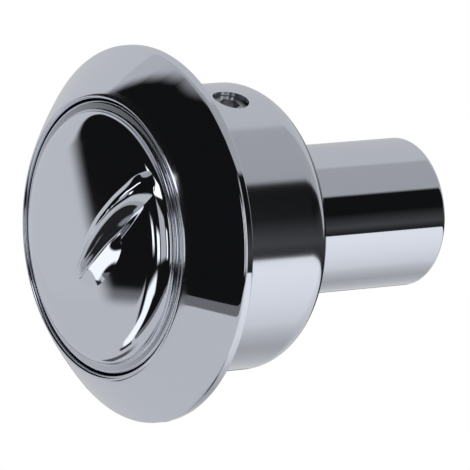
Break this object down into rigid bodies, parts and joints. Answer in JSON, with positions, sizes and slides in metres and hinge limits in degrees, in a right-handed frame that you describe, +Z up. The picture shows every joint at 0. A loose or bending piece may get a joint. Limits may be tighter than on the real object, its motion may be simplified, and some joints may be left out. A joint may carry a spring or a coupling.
{
  "type": "push button cistern actuator",
  "caption": "Chrome wall push button with a conical flange and a raised fin; it drives a sprung push rod through a tube to work a cistern valve.",
  "frame": {"origin": "on the button's axis, in the plane of the wall's face, which is the back of the flange", "axes": "+Y along the axis into the wall, -Y out of the button's face, +Z up, +X to the right seen from the front"},
  "size_m": [0.08, 0.0914, 0.08],
  "materials": {
    "polished_chrome": "mirror polished chrome plate",
    "plain_steel": "plain zinc-plated or stainless steel",
    "turned_brass": "turned brass",
    "black_rubber": "matt black rubber",
    "white_plastic": "natural white plastic"
  },
  "bodies": {
    "fixed": {"wall_flange": "polished_chrome", "wall_gasket": "black_rubber", "housing": "polished_chrome", "flange_set_screw": "plain_steel", "spigot_seal": "black_rubber", "barrel": "polished_chrome", "barrel_lock_nut": "plain_steel", "barrel_seal": "black_rubber", "stem_guide_bush": "turned_brass", "spring_washer": "plain_steel", "return_spring": "plain_steel", "rod_end_bush": "white_plastic", "bush_retaining_ring": "plain_steel"},
    "button": {"button_cap": "polished_chrome", "button_seal": "black_rubber", "button_stem": "turned_brass", "stem_lock_nut": "plain_steel", "stop_washer": "plain_steel", "stop_ring": "plain_steel", "push_rod": "plain_steel", "rod_lock_nut": "plain_steel", "rod_tip": "white_plastic"}
  },
  "joints": [
    {"name": "button_slide", "type": "slide", "parent": "fixed", "child": "button", "axis": [0, 1, 0], "range_m": [0, 0.007], "stiffness_N_per_m": 1700, "springref_m": -0.012, "deforming": ["return_spring"]}
  ]
}
